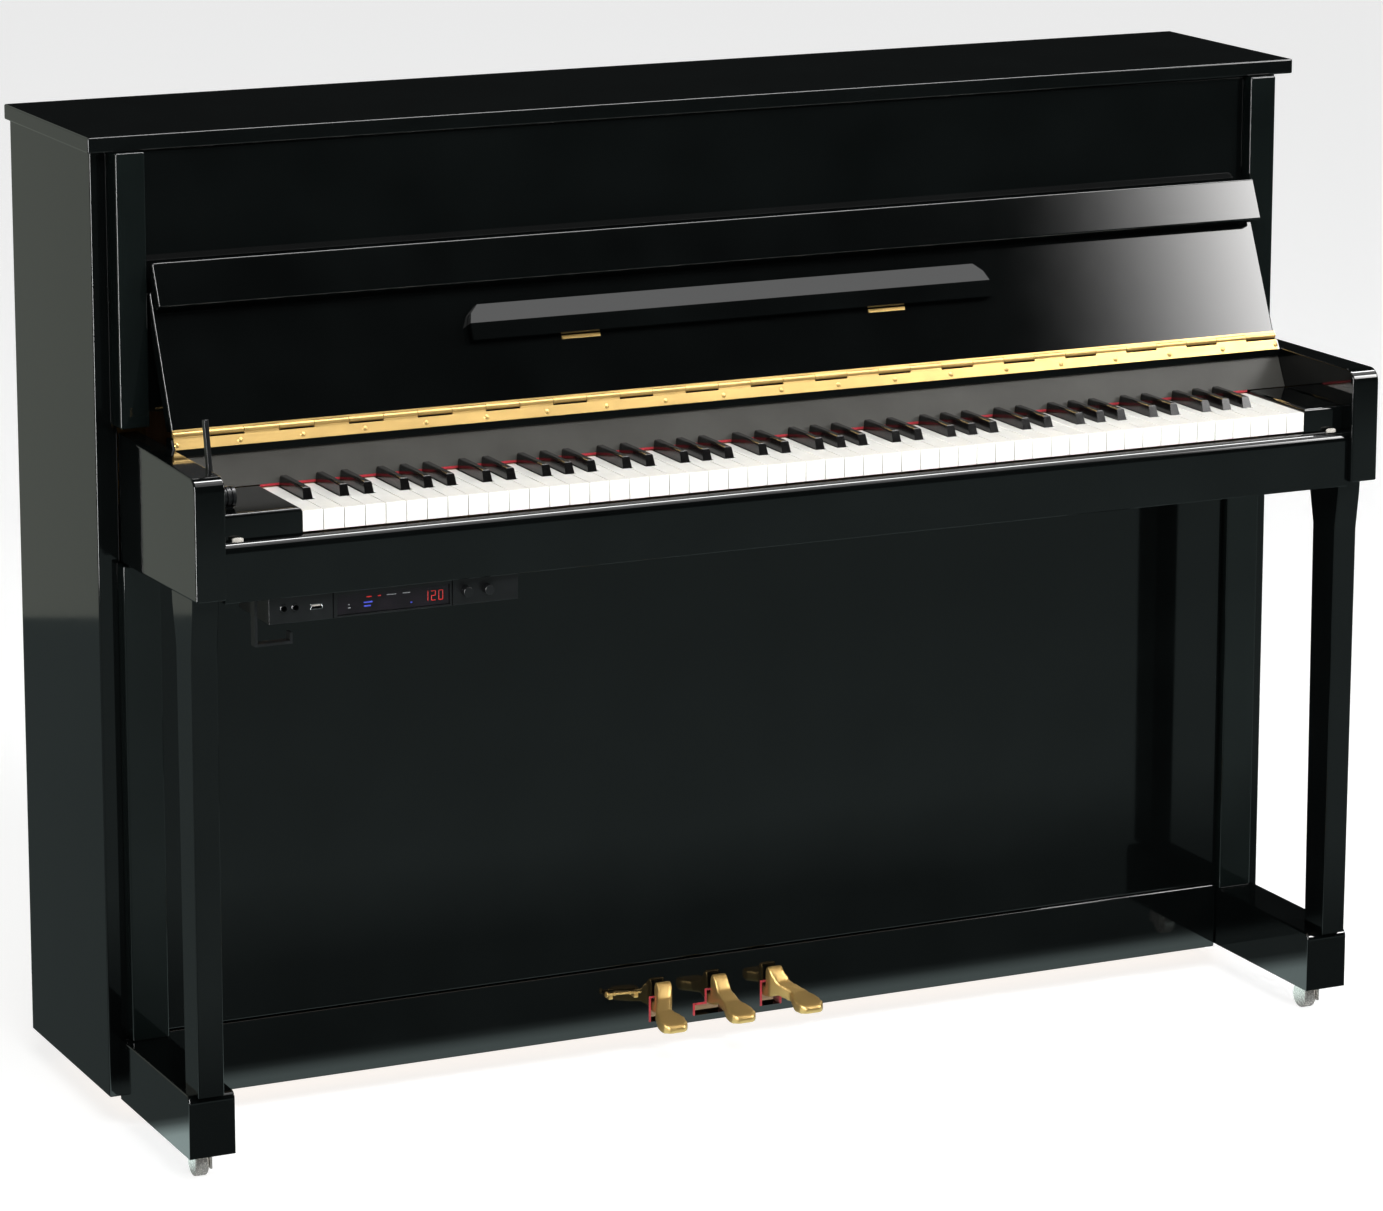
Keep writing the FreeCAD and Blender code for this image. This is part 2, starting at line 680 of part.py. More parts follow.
def make_hinge():
    """The continuous brass hinge: two leaves with alternating knuckles on one pin."""
    half = mm("fallboard_half")
    radius = mm("knuckle_radius")
    leaf = mm("leaf_thickness")
    pin = 1.0
    count = 34
    span = 2 * half / count
    hinge_point = FreeCAD.Vector(0, -mm("hinge_reach"), mm("hinge_level"))

    # moving leaf: lies on the fallboard's inner face, with every second knuckle
    moving = [Part.makeBox(2 * half, 3, leaf, FreeCAD.Vector(-half, 2.2, 0))]
    for index in range(1, count, 2):
        moving.append(tube(radius, pin + 0.08, -half + index * span + 0.3, span - 0.6))
    leaf_shape = moving[0].fuse(moving[1:])
    for index in range(0, count, 2):
        leaf_shape = leaf_shape.cut(tube(radius + 0.4, 0, -half + index * span - 0.3, span + 0.6))
    # plates of the two small hinges that carry the music ledge
    plates = [
        Part.makeBox(46, 4, leaf, FreeCAD.Vector(left, mm("ledge_start") - 5, 0))
        for left in (-216, 162)
    ]
    brass = document.addObject("Part::Feature", "moving_brass")
    brass.Shape = Part.makeCompound([leaf_shape] + plates)
    node("fallboard_brass", in_hinge_frame(brass))

    # fixed leaf: slopes down the front of the nameboard, with the other knuckles and the pin
    seat_low = FreeCAD.Vector(0, -108, 781)
    seat_high = FreeCAD.Vector(0, -102, mm("hinge_level") - 4.8)
    down = seat_low - seat_high
    out = FreeCAD.Vector(0, down.z, -down.y).normalize()
    outline_points = [
        seat_high + out * 0.05, seat_low + out * 0.05, seat_low + out * (leaf + 0.05),
        seat_high + out * (leaf + 0.05),
    ]
    start = FreeCAD.Vector(-half, 0, 0)
    wire = Part.makePolygon([start + point for point in outline_points + outline_points[:1]])
    fixed = Part.Face(wire).extrude(FreeCAD.Vector(2 * half, 0, 0))
    web_points = [
        seat_high + out * 0.05, seat_high + out * (leaf + 0.05),
        hinge_point + FreeCAD.Vector(0, -1.8, -0.8), hinge_point + FreeCAD.Vector(0, 0.5, -0.8),
    ]
    pieces = [tube(pin, 0, -half, 2 * half)]
    for index in range(0, count, 2):
        left = -half + index * span + 0.3
        sleeve = tube(radius, 0, left, span - 0.6)
        sleeve.translate(hinge_point)
        web = Part.Face(Part.makePolygon(
            [FreeCAD.Vector(left, 0, 0) + point for point in web_points + web_points[:1]]
        )).extrude(FreeCAD.Vector(span - 0.6, 0, 0))
        pieces += [sleeve, web]
    pieces[0].translate(hinge_point)
    fixed = fixed.fuse(pieces)
    # twenty round-headed screws along the middle of the leaf
    screws = []
    pitch = 71.3
    middle = seat_high + down * 0.55 + out * (leaf + 0.05)
    for index in range(20):
        centre = middle + FreeCAD.Vector(-9.5 * pitch + index * pitch, 0, 0)
        head = Part.makeSphere(4.2, centre - out * 2.9)
        keep = Part.makeCylinder(5, 4, centre, out)
        screws.append(head.common(keep))
    brass = document.addObject("Part::Feature", "fixed_brass")
    brass.Shape = Part.makeCompound([fixed] + screws)
    node("hinge_fixed_leaf", brass)


def make_damper():
    """The ribbed damper barrel on the left arm and the lever that the fallboard lands on."""
    y, z = -mm("damper_reach"), mm("damper_level")
    inner = -mm("arm_inner")
    barrel = [rod("barrel_core", (inner + 8, y, z), (1, 0, 0), "dims.damper_radius - 1.5", "20")]
    for index in range(4):
        barrel.append(rod("barrel_rib_%d" % index, (inner + 8 + index * 5.4, y, z), (1, 0, 0),
                          "dims.damper_radius", "3.6"))
    barrel.append(block("barrel_foot", (str(inner + 10), str(y - 4), "dims.key_block_top"),
                        ("16", "8", "dims.damper_level - dims.key_block_top")))
    node("damper_barrel", join("damper_barrel_joined", barrel))

    hub = rod("lever_hub", (inner + 1, y, z), (1, 0, 0), "dims.damper_radius - 3", "6")
    bar = document.addObject("Part::Box", "lever_bar")
    bar.Length = 5
    bar.Width = 8
    bar.setExpression("Height", "dims.lever_length")
    lean = FreeCAD.Rotation(FreeCAD.Vector(1, 0, 0), -11)
    bar.Placement = FreeCAD.Placement(
        FreeCAD.Vector(inner + 1.5, y, z) + lean.multVec(FreeCAD.Vector(0, -4, 0)), lean)
    bar.recompute()
    bar = rounded(bar, "key_round")
    node("damper_lever", join("damper_lever_joined", [hub, bar]))


# ---------------------------------------------------------------- pedals
def make_pedals():
    """Three cast pedals: each rises in front of the rail, then sweeps down to a broad toe.

    A side profile and a plan outline are kept where they overlap.
    """
    for index, name in ((-1, "left"), (0, "middle"), (1, "right")):
        root = index * mm("pedal_spacing")
        toe = index * mm("pedal_toe_spacing")
        rear = "dims.pedal_pivot_back + 12"
        tip = "-dims.pedal_tip"
        side, pad = profile_body(
            name + "_pedal_side", "YZ_Plane",
            [
                (rear, "50"), (rear, "62"), ("-17", "62"), ("-17", "83"), ("-20", "88"), ("-26", "88"),
                ("-31", "83"), ("-38", "73"), ("-58", "66"), (tip + " + 14", "62"),
                (tip + " + 3", "60"), (tip, "56"), (tip + " + 2", "50"), (tip + " + 16", "49"),
                ("-58", "53"), ("-38", "57"), ("-24", "52"), ("-12", "50"),
            ],
            "80", str((root + toe) / 2 - 40),
        )
        neck = mm("pedal_neck") / 2
        wide = mm("pedal_toe") / 2
        plan, pad = profile_body(
            name + "_pedal_plan", "XY_Plane",
            [
                (str(root - neck), rear), (str(root - neck), "-28"),
                (str(toe - neck - 1), "-56"), (str(toe - wide), tip + " + 22"),
                (str(toe - wide + 1), tip + " + 8"), (str(toe - wide + 7), tip),
                (str(toe + wide - 7), tip), (str(toe + wide - 1), tip + " + 8"),
                (str(toe + wide), tip + " + 22"), (str(toe + neck + 1), "-56"),
                (str(root + neck), "-28"), (str(root + neck), rear),
            ],
            "60", "35",
        )
        pedal = document.addObject("Part::Common", name + "_pedal_solid")
        pedal.Base = side
        pedal.Tool = plan
        pedal.recompute()
        node(name + "_pedal", pedal)


# ---------------------------------------------------------------- inside
def make_back_frame():
    depth = "dims.frame_back - dims.frame_front"
    width = "2 * " + SIDE_INNER + " - 1"
    parts = [
        block("bottom_beam", ("-" + SIDE_INNER + " + 0.5", "dims.frame_front", "dims.toe_underside"),
              (width, depth, "dims.beam_height")),
        block("top_beam", ("-" + SIDE_INNER + " + 0.5", "dims.frame_front",
                           LID_UNDERSIDE + " - dims.beam_height - 6"), (width, depth, "dims.beam_height")),
        # the pin block stands in front of the top beam
        block("pin_block", ("-dims.plate_half", "dims.plate_front + dims.plate_thickness", "905"),
              ("2 * dims.plate_half", "dims.frame_front - dims.plate_front - dims.plate_thickness",
               LID_UNDERSIDE + " - 911")),
    ]
    for index in range(5):
        parts.append(block(
            "back_post_%d" % index,
            ("%d * 310 - dims.post_width / 2" % (index - 2), "dims.frame_front",
             "dims.toe_underside + dims.beam_height"),
            ("dims.post_width", depth,
             LID_UNDERSIDE + " - 2 * dims.beam_height - 6 - dims.toe_underside"),
        ))
    # liners at both sides carry the soundboard's edges
    for name, left in (("bass", "-" + SIDE_INNER + " + 0.5"), ("treble", SIDE_INNER + " - 50.5")):
        parts.append(block(name + "_liner", (left, BOARD_BACK, "dims.soundboard_low"),
                           ("50", "dims.frame_front - " + BOARD_BACK,
                            "dims.soundboard_high - dims.soundboard_low")))
    node("back_frame", group("back_frame_parts", parts))


def treble_bridge_level(x):
    """The long bridge climbs towards the treble."""
    return 300 + mm("string_slope") * (x + 330)


def bridge_beam(name, start, end, front, extra=0.0):
    """A bridge standing on the soundboard; extra widens it into a clearance cut."""
    run = FreeCAD.Vector(end[0] - start[0], 0, end[1] - start[1])
    beam = document.addObject("Part::Box", name)
    beam.Length = run.Length + 2 * extra
    beam.Width = mm("soundboard_front") - front
    beam.Height = 28 + 2 * extra
    turn = FreeCAD.Rotation(FreeCAD.Vector(1, 0, 0), run)
    corner = FreeCAD.Vector(start[0], front, start[1])
    beam.Placement = FreeCAD.Placement(corner + turn.multVec(FreeCAD.Vector(-extra, 0, -extra)), turn)
    beam.recompute()
    return beam


def bridge_pair(suffix, extra=0.0):
    """The long treble bridge, and the short bass bridge that stands higher."""
    string_front = mm("plate_front")
    return [
        bridge_beam("treble_bridge" + suffix, (-330, treble_bridge_level(-330)),
                    (560, treble_bridge_level(560)), string_front - 3.4, extra),
        bridge_beam("bass_bridge" + suffix, (-460, 215), (-60, 180), string_front - 12.4, extra),
    ]


def make_soundboard():
    """The soundboard with its slanting ribs behind and two bridges in front."""
    low, high = mm("soundboard_low"), mm("soundboard_high")
    front, thickness = mm("soundboard_front"), mm("soundboard_thickness")
    half = side_inner - 5
    board = block("soundboard_panel", (str(-half), "dims.soundboard_front", "dims.soundboard_low"),
                  (str(2 * half), "dims.soundboard_thickness",
                   "dims.soundboard_high - dims.soundboard_low"))
    window = Part.makeBox(1280, 14, high - low - 30, FreeCAD.Vector(-640, front + thickness, low + 15))
    ribs = []
    turn = FreeCAD.Rotation(FreeCAD.Vector(0, 1, 0), 42)
    for index in range(9):
        rib = Part.makeBox(24, 13.5, 1500, FreeCAD.Vector(-12, 0, -750))
        rib.Placement = FreeCAD.Placement(
            FreeCAD.Vector(-720 + index * 180, front + thickness, (low + high) / 2), turn)
        ribs.append(rib.common(window))
    ribbing = document.addObject("Part::Feature", "soundboard_ribs")
    ribbing.Shape = Part.makeCompound(ribs)
    node("soundboard", group("soundboard_assembly", [board, ribbing] + bridge_pair("")))


def make_plate():
    """The cast-iron plate: a frame with struts, open over the soundboard."""
    plate = block(
        "plate_blank", ("-dims.plate_half", "dims.plate_front", "125"),
        ("2 * dims.plate_half", "dims.plate_thickness", LID_UNDERSIDE + " - 145"),
    )
    windows = bridge_pair("_clearance", 2.0)
    for index, (left, right, low) in enumerate(
        ((-640, -400, 300), (-370, -60, 180), (-30, 270, 180), (300, 640, 180))
    ):
        windows.append(block("plate_window_%d" % index, (str(left), "dims.plate_front - 5", str(low)),
                             (str(right - left), "dims.plate_thickness + 10", str(880 - low))))
    node("iron_plate", cut("iron_plate_open", plate, group("plate_windows", windows)))


def make_strings():
    """One string for each note, and the tuning pin that it is wound on."""
    pins, strings = [], []
    front = mm("plate_front")
    pin_radius = 3.4
    for index in range(88):
        share = index / 87.0
        x = -600 + 1200 * share
        level = 960 + 22 * (index % 3)
        pins.append(Part.makeCylinder(pin_radius, 24, FreeCAD.Vector(x, front - 24, level),
                                      FreeCAD.Vector(0, 1, 0)))
        if index < 26:
            # the bass strings cross over the others towards the middle
            radius, y = 1.6, front - 14
            foot = FreeCAD.Vector(x + 190, y, 140)
        else:
            radius, y = 0.6, front - 4
            foot_x = x - 60 + 60 * share
            foot = FreeCAD.Vector(foot_x, y, treble_bridge_level(foot_x) - 45)
        top = FreeCAD.Vector(x - pin_radius - radius, y, level)
        run = foot - top
        strings.append(Part.makeCylinder(radius, run.Length, top, run))
    wires = document.addObject("Part::Feature", "string_group")
    wires.Shape = Part.makeCompound(strings)
    node("strings", wires)
    pegs = document.addObject("Part::Feature", "tuning_pin_group")
    pegs.Shape = Part.makeCompound(pins)
    node("tuning_pins", pegs)


def make_action():
    """The action: rails between four brackets, and a hammer for each note."""
    bracket = 8.0
    bay = (52 * mm("key_pitch") + bracket) / 3
    first = -mm("keyboard_left") - bracket
    parts = []
    for name, front, depth, low, height in (
        ("lower", 20, 30, 745, 25), ("hammer_rest", 8, 16, 905, 30), ("damper", 52, 12, 822, 24),
    ):
        for section in range(3):
            parts.append(block("%s_action_rail_%d" % (name, section),
                               (str(first + bracket + section * bay), str(front), str(low)),
                               (str(bay - bracket), str(depth), str(height))))
    for index in range(4):
        # the end brackets stand on the keybed and the inner two hang between the rails
        low = keybed_top if index in (0, 3) else 745
        parts.append(block("action_bracket_%d" % index, (str(first + index * bay), "6", str(low)),
                           (str(bracket), "64", str(940 - low))))
    node("action_frame", group("action_frame_parts", parts))

    hammers = []
    for section, count in enumerate((30, 29, 29)):
        start = first + section * bay + bracket + 4.5
        pitch = (bay - bracket - 9) / (count - 1)
        for index in range(count):
            x = start + index * pitch
            shank = Part.makeCylinder(2.2, 115, FreeCAD.Vector(x, 34, 770))
            head = Part.makeBox(7, 34, 18, FreeCAD.Vector(x - 3.5, 27, 882))
            hammers.append(shank.fuse(head))
    heads = document.addObject("Part::Feature", "hammer_group")
    heads.Shape = Part.makeCompound(hammers)
    node("hammers", heads)


# ---------------------------------------------------------------- control unit
def make_control_unit():
    """The unit under the keybed: sockets, a sunk display and two knobs."""
    low = mm("keybed_underside") - mm("unit_height") - 0.2
    housing = block(
        "unit_housing",
        ("-dims.unit_left", "-dims.unit_front", str(low)),
        ("dims.unit_width", "dims.unit_depth", "dims.unit_height"),
    )
    housing = rounded(housing, "key_round")
    left = -mm("unit_left")
    front = -mm("unit_front")
    tools = [block("display_recess", (str(left + 77), str(front - 1), str(low + 2)), ("128", "5", "22"))]
    for index, offset in enumerate((17, 30)):
        tools.append(rod("jack_bore_%d" % index, (left + offset, front - 1, low + 16), (0, 1, 0),
                         "dims.jack_radius", "31"))
    tools.append(block("usb_socket", (str(left + 47), str(front - 1), str(low + 12)), ("13", "16", "6")))
    tools.append(block("module_groove_0", (str(left + 71.5), str(front - 1), str(low - 1)),
                       ("1.5", "3", "40")))
    tools.append(block("module_groove_1", (str(left + 207), str(front - 1), str(low - 1)),
                       ("1.5", "3", "40")))
    for index, offset in enumerate((223, 247.5)):
        tools.append(rod("knob_bore_%d" % index, (left + offset, front - 1, low + 15), (0, 1, 0), "3", "13"))
    node("control_unit", cut("control_unit_open", housing, group("unit_tools", tools)))

    window = block("display_window", (str(left + 77.5), str(front + 2), str(low + 2.5)), ("127", "1.9", "21"))
    node("control_display", window)

    for index, (name, offset) in enumerate((("volume_knob", 223), ("mode_knob", 247.5))):
        centre = (left + offset, front - mm("knob_length") - 0.3, low + 15)
        cap = rod(name + "_cap", centre, (0, 1, 0), "dims.knob_radius", "dims.knob_length")
        shaft = rod(name + "_shaft", centre, (0, 1, 0), "2.95", "dims.knob_length + 10")
        cap = rounded(cap, "key_round", lambda edge: near(edge, y=centre[1]))
        node(name, join(name + "_joined", [cap, shaft]))


def make_headphone_hook():
    """A flat bar hanging under the keybed, bent into a shelf with an upturned end."""
    x, z = -645.0, mm("keybed_underside")
    body, pad = profile_body(
        "hook_body", "XZ_Plane",
        [
            (str(x), str(z - 0.2)), (str(x), "594"), (str(x + 42), "594"), (str(x + 42), "606"),
            (str(x + 39), "606"), (str(x + 39), "597"), (str(x + 3), "597"), (str(x + 3), str(z - 3.2)),
            (str(x + 14), str(z - 3.2)), (str(x + 14), str(z - 0.2)),
        ],
        "12", "dims.unit_front - 14",
    )
    node("headphone_hook", body)


# ---------------------------------------------------------------- casters
def make_casters():
    """Four swivel casters: a plate with two cheeks and an axle, and a plain wheel."""
    places = {
        "front_left": (-694, -190), "front_right": (694, -190),
        "rear_left": (-660, 205), "rear_right": (660, 205),
    }
    top = mm("toe_underside") - 0.4
    trail = mm("caster_trail")
    radius = mm("wheel_radius")
    for place, (x, y) in places.items():
        name = place + "_caster"
        plate = rod(name + "_plate", (x, y, top - 3), (0, 0, 1), "13", "3")
        cheeks = []
        for side in (-1, 1):
            low = x + side * (mm("wheel_width") / 2 + 1.6) - 1
            cheeks.append(block(
                "%s_cheek_%d" % (name, side + 1), (str(low), str(y - 5), "11"),
                ("2", "dims.caster_trail + 10", str(top - 11)),
            ))
        half = mm("wheel_width") / 2 + 2.6
        axle = rod(name + "_axle", (x - half, y + trail, radius), (1, 0, 0), "dims.axle_radius",
                   str(2 * half))
        node(name + "_fork", join(name + "_joined", [plate, axle] + cheeks))

        tread = rod(name + "_tread", (x - mm("wheel_width") / 2, y + trail, radius), (1, 0, 0),
                    "dims.wheel_radius", "dims.wheel_width")
        tread = rounded(tread, "edge_round", lambda edge: edge.Curve.TypeId == "Part::GeomCircle")
        bore = rod(name + "_bore", (x - mm("wheel_width"), y + trail, radius), (1, 0, 0),
                   "dims.axle_radius + 0.06", "2 * dims.wheel_width")
        node(name + "_wheel", cut(name + "_wheel_solid", tread, bore))


make_case()
make_bottom_rail()
make_arms()
make_legs()
make_toe_blocks()
make_keybed()
make_nameboard()
make_keys()
make_key_frame()
make_fallboard()
make_ledge()
make_hinge()
make_damper()
make_pedals()
make_back_frame()
make_soundboard()
make_plate()
make_strings()
make_action()
make_control_unit()
make_headphone_hook()
make_casters()
document.recompute()

for item in document.Objects:
    if {"Invalid", "Error"} & set(item.State):
        raise RuntimeError("object failed: %s %s" % (item.Label, item.State))
for name, piece in nodes.items():
    if piece.Shape.isNull() or not piece.Shape.isValid():
        raise RuntimeError("bad shape: " + name)
    if piece.Label != name:
        raise RuntimeError("label taken: " + name)
for name, piece in nodes.items():
    piece.Shape.exportStep("parts/%s.step" % name)
print(len(nodes), "sub-parts written")
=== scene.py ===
import json
import math

import bmesh
import bpy
from mathutils import Matrix, Vector


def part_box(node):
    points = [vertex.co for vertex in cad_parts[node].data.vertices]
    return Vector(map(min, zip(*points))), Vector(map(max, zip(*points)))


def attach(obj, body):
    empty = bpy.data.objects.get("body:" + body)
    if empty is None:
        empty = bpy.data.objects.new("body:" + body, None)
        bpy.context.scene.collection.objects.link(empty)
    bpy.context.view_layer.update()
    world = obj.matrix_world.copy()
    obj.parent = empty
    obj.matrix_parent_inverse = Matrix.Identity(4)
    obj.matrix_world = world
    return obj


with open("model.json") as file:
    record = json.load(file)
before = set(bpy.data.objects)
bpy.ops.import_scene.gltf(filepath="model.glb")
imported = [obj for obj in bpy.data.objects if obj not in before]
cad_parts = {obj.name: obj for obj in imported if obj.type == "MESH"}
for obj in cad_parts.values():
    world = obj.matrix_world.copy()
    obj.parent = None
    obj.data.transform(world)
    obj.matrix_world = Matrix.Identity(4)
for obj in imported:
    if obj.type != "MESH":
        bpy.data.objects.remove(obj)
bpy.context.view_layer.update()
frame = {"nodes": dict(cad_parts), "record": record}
nodes = frame["nodes"]


# ------------------------------------------------------------------ node helpers
def new_material(name):
    """An empty node material: returns it with its node tree, shader and object coordinates."""
    material = bpy.data.materials.new(name)
    material.use_nodes = True
    tree = material.node_tree
    tree.nodes.clear()
    shader = tree.nodes.new("ShaderNodeBsdfPrincipled")
    output = tree.nodes.new("ShaderNodeOutputMaterial")
    tree.links.new(shader.outputs[0], output.inputs[0])
    place = tree.nodes.new("ShaderNodeTexCoord").outputs["Object"]
    return material, tree, shader, place


def noise(tree, place, scale, detail=4.0, stretch=(1, 1, 1), roughness=0.5):
    """Fine random variation, optionally stretched along an axis."""
    mapping = tree.nodes.new("ShaderNodeMapping")
    mapping.inputs["Scale"].default_value = stretch
    tree.links.new(place, mapping.inputs["Vector"])
    texture = tree.nodes.new("ShaderNodeTexNoise")
    texture.inputs["Scale"].default_value = scale
    texture.inputs["Detail"].default_value = detail
    texture.inputs["Roughness"].default_value = roughness
    tree.links.new(mapping.outputs[0], texture.inputs["Vector"])
    return texture.outputs["Fac"]


def ramp(tree, factor, stops):
    """Colour from a factor: stops are (position, colour)."""
    node = tree.nodes.new("ShaderNodeValToRGB")
    elements = node.color_ramp.elements
    while len(elements) < len(stops):
        elements.new(0.5)
    for element, (position, colour) in zip(elements, stops):
        element.position = position
        element.color = (*colour, 1) if len(colour) == 3 else colour
    tree.links.new(factor, node.inputs[0])
    return node.outputs[0]


def span(tree, factor, low, high, start=0.0, end=1.0):
    """Map a factor from start..end to low..high."""
    node = tree.nodes.new("ShaderNodeMapRange")
    node.inputs["From Min"].default_value = start
    node.inputs["From Max"].default_value = end
    node.inputs["To Min"].default_value = low
    node.inputs["To Max"].default_value = high
    tree.links.new(factor, node.inputs["Value"])
    return node.outputs[0]


def bump(tree, shader, height, strength, distance):
    node = tree.nodes.new("ShaderNodeBump")
    node.inputs["Strength"].default_value = strength
    node.inputs["Distance"].default_value = distance
    tree.links.new(height, node.inputs["Height"])
    tree.links.new(node.outputs[0], shader.inputs["Normal"])


def mix_colour(tree, factor, first, second):
    node = tree.nodes.new("ShaderNodeMix")
    node.data_type = "RGBA"
    tree.links.new(factor, node.inputs["Factor"])
    for socket, value in ((node.inputs[6], first), (node.inputs[7], second)):
        if isinstance(value, tuple):
            socket.default_value = (*value, 1)
        else:
            tree.links.new(value, socket)
    return node.outputs[2]


# ------------------------------------------------------------------ materials
def polyester(name, colour):
    """Deep piano lacquer, polished flat, with a trace of flow in its surface."""
    material, tree, shader, place = new_material(name)
    flow = noise(tree, place, 9.0, 2.0)
    dark = tuple(channel * 0.7 for channel in colour)
    light = tuple(channel * 1.3 for channel in colour)
    shade = ramp(tree, flow, [(0.3, dark), (0.7, light)])
    tree.links.new(shade, shader.inputs["Base Color"])
    haze = noise(tree, place, 38.0, 3.0)
    tree.links.new(span(tree, haze, 0.035, 0.075), shader.inputs["Roughness"])
    shader.inputs["IOR"].default_value = 1.52
    bump(tree, shader, flow, 0.05, 0.0004)
    return material


def nameboard_finish_and_painted_reflection():
    """Piano lacquer above; on the slope that faces the keys a satin finish, with a grey painted
    reflection of the keys and light in its colour.
    """
    material, tree, shader, place = new_material("nameboard_lacquer_painted_reflection")
    split = tree.nodes.new("ShaderNodeSeparateXYZ")
    tree.links.new(place, split.inputs[0])
    slope = span(tree, split.outputs["Z"], 1.0, 0.0, 0.7712, 0.7722)
    cloud = noise(tree, place, 14.0, 4.0)
    # painted reflection: the slope's grey colour stands in for the keys and light mirrored in it; only
    # its satin roughness is real
    slope_painted_reflection = ramp(tree, cloud, [(0.3, (0.040, 0.039, 0.035)), (0.7, (0.053, 0.052, 0.047))])
    tree.links.new(mix_colour(tree, slope, (0.0015, 0.0018, 0.0018), slope_painted_reflection), shader.inputs["Base Color"])
    grain = noise(tree, place, 700.0, 3.0)
    tree.links.new(span(tree, slope, 0.06, 0.42), shader.inputs["Roughness"])
    tree.links.new(span(tree, slope, 0.5, 0.15), shader.inputs["Specular IOR Level"])
    bump(tree, shader, grain, 0.04, 0.0001)
    return material


def satin_black(name, colour, roughness):
    """Moulded black plastic or ebony with a fine texture."""
    material, tree, shader, place = new_material(name)
    grain = noise(tree, place, 900.0, 3.0)
    cloud = noise(tree, place, 60.0, 2.0)
    dark = tuple(channel * 0.75 for channel in colour)
    light = tuple(channel * 1.3 for channel in colour)
    tree.links.new(ramp(tree, cloud, [(0.3, dark), (0.7, light)]), shader.inputs["Base Color"])
    tree.links.new(span(tree, grain, roughness - 0.06, roughness + 0.08), shader.inputs["Roughness"])
    bump(tree, shader, grain, 0.12, 0.0001)
    return material


def metal(name, colour, roughness, stretch=(1, 1, 1), metallic=1.0):
    """Polished metal with faint polishing marks and small changes of tone."""
    material, tree, shader, place = new_material(name)
    marks = noise(tree, place, 420.0, 5.0, stretch)
    cloud = noise(tree, place, 22.0, 2.0)
    dark = tuple(channel * 0.88 for channel in colour)
    tree.links.new(ramp(tree, cloud, [(0.35, dark), (0.65, colour)]), shader.inputs["Base Color"])
    tree.links.new(span(tree, marks, roughness * 0.7, roughness * 1.4), shader.inputs["Roughness"])
    shader.inputs["Metallic"].default_value = metallic
    bump(tree, shader, marks, 0.03, 0.00004)
    return material


def timber(name, dark, light, rings, along):
    """Plain sawn wood: grain lines along one axis, pores, and a dry surface."""
    material, tree, shader, place = new_material(name)
    stretch = tuple(0.06 if axis == along else 1.0 for axis in "xyz")
    broad = noise(tree, place, rings, 3.0, stretch, 0.6)
    fine = noise(tree, place, 260.0, 4.0, stretch)
    tone = ramp(tree, broad, [(0.32, dark), (0.5, light), (0.68, dark)])
    shade = ramp(tree, fine, [(0.35, tuple(channel * 0.8 for channel in dark)), (0.6, light)])
    steady = tree.nodes.new("ShaderNodeMix")
    steady.data_type = "RGBA"
    steady.inputs[0].default_value = 0.35
    tree.links.new(tone, steady.inputs[6])
    tree.links.new(shade, steady.inputs[7])
    tree.links.new(steady.outputs[2], shader.inputs["Base Color"])
    tree.links.new(span(tree, fine, 0.5, 0.68), shader.inputs["Roughness"])
    bump(tree, shader, fine, 0.2, 0.0003)
    return material


def felt(name, dark, light):
    """Pressed wool: soft clumps, short fibres and a sheen at the edges."""
    material, tree, shader, place = new_material(name)
    clumps = noise(tree, place, 240.0, 6.0, roughness=0.7)
    fibres = noise(tree, place, 1500.0, 3.0)
    tree.links.new(ramp(tree, clumps, [(0.3, dark), (0.7, light)]), shader.inputs["Base Color"])
    shader.inputs["Roughness"].default_value = 0.95
    shader.inputs["Sheen Weight"].default_value = 0.5
    bump(tree, shader, fibres, 0.5, 0.0004)
    return material


def key_material(name, top, top_roughness, wood):
    """A key: its playing surface in front, and the wooden lever behind the nameboard."""
    material, tree, shader, place = new_material(name)
    split = tree.nodes.new("ShaderNodeSeparateXYZ")
    tree.links.new(place, split.inputs[0])
    lever = span(tree, split.outputs["Y"], 0.0, 1.0, -0.1225, -0.1205)
    grain = noise(tree, place, 170.0, 4.0, (1, 0.05, 1))
    lever_colour = ramp(tree, grain, [(0.3, tuple(channel * 0.75 for channel in wood)), (0.7, wood)])
    cloud = noise(tree, place, 35.0, 2.0)
    worn = tuple(channel * 0.95 for channel in top)
    surface = ramp(tree, cloud, [(0.3, worn), (0.7, top)])
    tree.links.new(mix_colour(tree, lever, surface, lever_colour), shader.inputs["Base Color"])
    polish = noise(tree, place, 120.0, 3.0)
    tree.links.new(span(tree, polish, top_roughness - 0.05, top_roughness + 0.07),
                   shader.inputs["Roughness"])
    bump(tree, shader, polish, 0.03, 0.0001)
    return material


def cast_gold():
    """Sand-cast iron under bronze lacquer."""
    material, tree, shader, place = new_material("cast_iron")
    sand = noise(tree, place, 300.0, 6.0, roughness=0.65)
    cloud = noise(tree, place, 6.0, 3.0)
    tree.links.new(ramp(tree, cloud, [(0.3, (0.36, 0.24, 0.08)), (0.7, (0.52, 0.37, 0.14))]),
                   shader.inputs["Base Color"])
    tree.links.new(span(tree, sand, 0.32, 0.5), shader.inputs["Roughness"])
    shader.inputs["Metallic"].default_value = 0.7
    bump(tree, shader, sand, 0.35, 0.0005)
    return material


